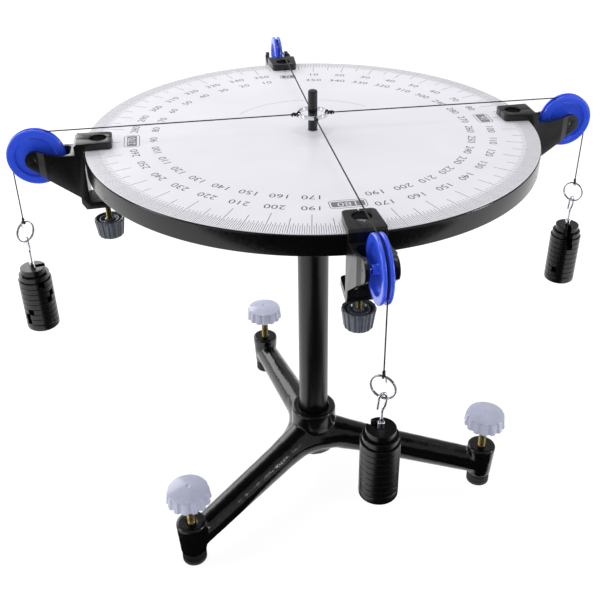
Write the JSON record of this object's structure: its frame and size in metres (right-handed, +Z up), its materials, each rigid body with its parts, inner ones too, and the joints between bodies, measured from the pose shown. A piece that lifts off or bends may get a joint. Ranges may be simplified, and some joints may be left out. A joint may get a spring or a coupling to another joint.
{
  "type": "force table",
  "caption": "Round black force table on a tripod, with a white dial, blue pulleys on rim clamps, and threads from a centre ring to hangers of slotted masses.",
  "frame": {"origin": "on the floor under the three foot pads, on the axis of the column and of the centre pin", "axes": "+Z up along the column; +Y towards the dial's zero mark and the back of the picture; +X towards the dial's 90 degree mark"},
  "size_m": [0.5536, 0.5536, 0.431],
  "materials": {
    "tripod_enamel": "gloss black enamel over a rough iron casting",
    "disc_enamel": "gloss black enamel over a cast aluminium disc",
    "column_black": "satin black steel",
    "dial_print": "white laminate with a black printed protractor dial",
    "set_screw_steel": "blackened steel",
    "pin_black": "blackened steel, polished",
    "ring_chrome": "polished",
    "foot_rubber": "matt moulded rubber",
    "screw_brass": "turned, threaded",
    "level_knob_blue_grey": "moulded, satin",
    "clamp_knob_grey": "moulded, fluted",
    "clamp_black": "moulded, satin",
    "axle_steel": "turned",
    "thrust_pad_steel": "turned",
    "pulley_blue": "moulded, gloss",
    "thread_dark": "twisted cotton",
    "split_ring_steel": "bright spring wire",
    "hook_chrome": "bright plated steel",
    "mass_black": "satin black enamel"
  },
  "bodies": {
    "stand": {"tripod_base": "tripod_enamel", "column": "column_black", "table_disc": "disc_enamel", "dial_plate": "dial_print", "set_screws": "set_screw_steel"},
    "pin": {"centre_pin": "pin_black"},
    "ring": {"centre_ring": "ring_chrome"},
    "foot_100": {"foot_pad_100": "foot_rubber"},
    "leveller_100": {"level_screw_100": "screw_brass", "level_knob_100": "level_knob_blue_grey"},
    "foot_220": {"foot_pad_220": "foot_rubber"},
    "leveller_220": {"level_screw_220": "screw_brass", "level_knob_220": "level_knob_blue_grey"},
    "foot_340": {"foot_pad_340": "foot_rubber"},
    "leveller_340": {"level_screw_340": "screw_brass", "level_knob_340": "level_knob_blue_grey"},
    "clamp_0": {"clamp_body_0": "clamp_black", "pulley_axle_0": "axle_steel", "thread_0": "thread_dark"},
    "wheel_0": {"pulley_0": "pulley_blue"},
    "thrust_0": {"clamp_pad_0": "thrust_pad_steel"},
    "clamp_turner_0": {"clamp_screw_0": "screw_brass", "clamp_knob_0": "clamp_knob_grey"},
    "link_0": {"split_ring_0": "split_ring_steel"},
    "hanger_0": {"hanger_hook_0": "hook_chrome", "hanger_base_0": "mass_black"},
    "masses_0": {"slotted_masses_0": "mass_black"},
    "clamp_90": {"clamp_body_90": "clamp_black", "pulley_axle_90": "axle_steel", "thread_90": "thread_dark"},
    "wheel_90": {"pulley_90": "pulley_blue"},
    "thrust_90": {"clamp_pad_90": "thrust_pad_steel"},
    "clamp_turner_90": {"clamp_screw_90": "screw_brass", "clamp_knob_90": "clamp_knob_grey"},
    "link_90": {"split_ring_90": "split_ring_steel"},
    "hanger_90": {"hanger_hook_90": "hook_chrome", "hanger_base_90": "mass_black"},
    "masses_90": {"slotted_masses_90": "mass_black"},
    "clamp_180": {"clamp_body_180": "clamp_black", "pulley_axle_180": "axle_steel", "thread_180": "thread_dark"},
    "wheel_180": {"pulley_180": "pulley_blue"},
    "thrust_180": {"clamp_pad_180": "thrust_pad_steel"},
    "clamp_turner_180": {"clamp_screw_180": "screw_brass", "clamp_knob_180": "clamp_knob_grey"},
    "link_180": {"split_ring_180": "split_ring_steel"},
    "hanger_180": {"hanger_hook_180": "hook_chrome", "hanger_base_180": "mass_black"},
    "masses_180": {"slotted_masses_180": "mass_black"},
    "clamp_270": {"clamp_body_270": "clamp_black", "pulley_axle_270": "axle_steel", "thread_270": "thread_dark"},
    "wheel_270": {"pulley_270": "pulley_blue"},
    "thrust_270": {"clamp_pad_270": "thrust_pad_steel"},
    "clamp_turner_270": {"clamp_screw_270": "screw_brass", "clamp_knob_270": "clamp_knob_grey"},
    "link_270": {"split_ring_270": "split_ring_steel"},
    "hanger_270": {"hanger_hook_270": "hook_chrome", "hanger_base_270": "mass_black"},
    "masses_270": {"slotted_masses_270": "mass_black"}
  },
  "joints": [
    {"name": "centre_pin_lift", "type": "slide", "parent": "stand", "child": "pin", "axis": [0, 0, 1], "range_m": [0, 0.022]},
    {"name": "centre_ring_turn", "type": "hinge", "parent": "stand", "child": "ring", "pos_m": [0, 0, 0.41], "axis": [0, 0, 1], "continuous": true},
    {"name": "foot_slide_100", "type": "slide", "parent": "stand", "child": "foot_100", "axis": [0, 0, -1], "range_m": [0, 0.028]},
    {"name": "level_screw_turn_100", "type": "hinge", "parent": "foot_100", "child": "leveller_100", "pos_m": [-0.03186, 0.18071, 0.05], "axis": [0, 0, -1], "range_deg": [0, 8064]},
    {"name": "foot_slide_220", "type": "slide", "parent": "stand", "child": "foot_220", "axis": [0, 0, -1], "range_m": [0, 0.028]},
    {"name": "level_screw_turn_220", "type": "hinge", "parent": "foot_220", "child": "leveller_220", "pos_m": [-0.14057, -0.11795, 0.05], "axis": [0, 0, -1], "range_deg": [0, 8064]},
    {"name": "foot_slide_340", "type": "slide", "parent": "stand", "child": "foot_340", "axis": [0, 0, -1], "range_m": [0, 0.028]},
    {"name": "level_screw_turn_340", "type": "hinge", "parent": "foot_340", "child": "leveller_340", "pos_m": [0.17243, -0.06276, 0.05], "axis": [0, 0, -1], "range_deg": [0, 8064]},
    {"name": "clamp_travel_0", "type": "hinge", "parent": "stand", "child": "clamp_0", "pos_m": [0, 0, 0.395], "axis": [0, 0, 1], "range_deg": [-75, 75]},
    {"name": "pulley_spin_0", "type": "hinge", "parent": "clamp_0", "child": "wheel_0", "pos_m": [0, 0.2405, 0.3885], "axis": [-1, 0, 0], "continuous": true},
    {"name": "clamp_pad_slide_0", "type": "slide", "parent": "clamp_0", "child": "thrust_0", "axis": [0, 0, -1], "range_m": [0, 0.024]},
    {"name": "clamp_screw_turn_0", "type": "hinge", "parent": "thrust_0", "child": "clamp_turner_0", "pos_m": [0, 0.1875, 0.335], "axis": [0, 0, -1], "range_deg": [0, 10800]},
    {"name": "split_ring_swing_0", "type": "hinge", "parent": "clamp_0", "child": "link_0", "pos_m": [0, 0.262, 0.32435], "axis": [-0.9397, 0.342, 0], "range_deg": [-15, 15]},
    {"name": "hanger_swing_0", "type": "hinge", "parent": "link_0", "child": "hanger_0", "pos_m": [0, 0.262, 0.30565], "axis": [0.866, -0.5, 0], "range_deg": [-15, 15]},
    {"name": "masses_lift_0", "type": "slide", "parent": "hanger_0", "child": "masses_0", "axis": [0, 0, 1], "range_m": [0, 0.012]},
    {"name": "clamp_travel_90", "type": "hinge", "parent": "stand", "child": "clamp_90", "pos_m": [0, 0, 0.395], "axis": [0, 0, 1], "range_deg": [-75, 75]},
    {"name": "pulley_spin_90", "type": "hinge", "parent": "clamp_90", "child": "wheel_90", "pos_m": [0.2405, 0, 0.3885], "axis": [0, 1, 0], "continuous": true},
    {"name": "clamp_pad_slide_90", "type": "slide", "parent": "clamp_90", "child": "thrust_90", "axis": [0, 0, -1], "range_m": [0, 0.024]},
    {"name": "clamp_screw_turn_90", "type": "hinge", "parent": "thrust_90", "child": "clamp_turner_90", "pos_m": [0.1875, 0, 0.335], "axis": [0, 0, -1], "range_deg": [0, 10800]},
    {"name": "split_ring_swing_90", "type": "hinge", "parent": "clamp_90", "child": "link_90", "pos_m": [0.262, 0, 0.32135], "axis": [-0.6691, 0.7431, 0], "range_deg": [-15, 15]},
    {"name": "hanger_swing_90", "type": "hinge", "parent": "link_90", "child": "hanger_90", "pos_m": [0.262, 0, 0.30265], "axis": [-0.5, 0.866, 0], "range_deg": [-15, 15]},
    {"name": "masses_lift_90", "type": "slide", "parent": "hanger_90", "child": "masses_90", "axis": [0, 0, 1], "range_m": [0, 0.012]},
    {"name": "clamp_travel_180", "type": "hinge", "parent": "stand", "child": "clamp_180", "pos_m": [0, 0, 0.395], "axis": [0, 0, 1], "range_deg": [-75, 75]},
    {"name": "pulley_spin_180", "type": "hinge", "parent": "clamp_180", "child": "wheel_180", "pos_m": [0.00336, -0.24048, 0.3885], "axis": [0.9999, 0.014, 0], "continuous": true},
    {"name": "clamp_pad_slide_180", "type": "slide", "parent": "clamp_180", "child": "thrust_180", "axis": [0, 0, -1], "range_m": [0, 0.024]},
    {"name": "clamp_screw_turn_180", "type": "hinge", "parent": "thrust_180", "child": "clamp_turner_180", "pos_m": [0.00262, -0.18748, 0.335], "axis": [0, 0, -1], "range_deg": [0, 10800]},
    {"name": "split_ring_swing_180", "type": "hinge", "parent": "clamp_180", "child": "link_180", "pos_m": [0.00366, -0.26197, 0.31585], "axis": [0.7965, -0.6046, 0], "range_deg": [-15, 15]},
    {"name": "hanger_swing_180", "type": "hinge", "parent": "link_180", "child": "hanger_180", "pos_m": [0.00366, -0.26197, 0.29715], "axis": [-0.3875, 0.9219, 0], "range_deg": [-15, 15]},
    {"name": "masses_lift_180", "type": "slide", "parent": "hanger_180", "child": "masses_180", "axis": [0, 0, 1], "range_m": [0, 0.012]},
    {"name": "clamp_travel_270", "type": "hinge", "parent": "stand", "child": "clamp_270", "pos_m": [0, 0, 0.395], "axis": [0, 0, 1], "range_deg": [-75, 75]},
    {"name": "pulley_spin_270", "type": "hinge", "parent": "clamp_270", "child": "wheel_270", "pos_m": [-0.24048, -0.00336, 0.3885], "axis": [0.014, -0.9999, 0], "continuous": true},
    {"name": "clamp_pad_slide_270", "type": "slide", "parent": "clamp_270", "child": "thrust_270", "axis": [0, 0, -1], "range_m": [0, 0.024]},
    {"name": "clamp_screw_turn_270", "type": "hinge", "parent": "thrust_270", "child": "clamp_turner_270", "pos_m": [-0.18748, -0.00262, 0.335], "axis": [0, 0, -1], "range_deg": [0, 10800]},
    {"name": "split_ring_swing_270", "type": "hinge", "parent": "clamp_270", "child": "link_270", "pos_m": [-0.26197, -0.00366, 0.32695], "axis": [-0.632, -0.7749, 0], "range_deg": [-15, 15]},
    {"name": "hanger_swing_270", "type": "hinge", "parent": "link_270", "child": "hanger_270", "pos_m": [-0.26197, -0.00366, 0.30825], "axis": [0.9348, 0.3551, 0], "range_deg": [-15, 15]},
    {"name": "masses_lift_270", "type": "slide", "parent": "hanger_270", "child": "masses_270", "axis": [0, 0, 1], "range_m": [0, 0.012]}
  ],
  "couplings": [
    {"joint": "foot_slide_100", "follows": "level_screw_turn_100", "m_per_rad": 0.00019894},
    {"joint": "foot_slide_220", "follows": "level_screw_turn_220", "m_per_rad": 0.00019894},
    {"joint": "foot_slide_340", "follows": "level_screw_turn_340", "m_per_rad": 0.00019894},
    {"joint": "clamp_pad_slide_0", "follows": "clamp_screw_turn_0", "m_per_rad": 0.00012732},
    {"joint": "clamp_pad_slide_90", "follows": "clamp_screw_turn_90", "m_per_rad": 0.00012732},
    {"joint": "clamp_pad_slide_180", "follows": "clamp_screw_turn_180", "m_per_rad": 0.00012732},
    {"joint": "clamp_pad_slide_270", "follows": "clamp_screw_turn_270", "m_per_rad": 0.00012732}
  ]
}
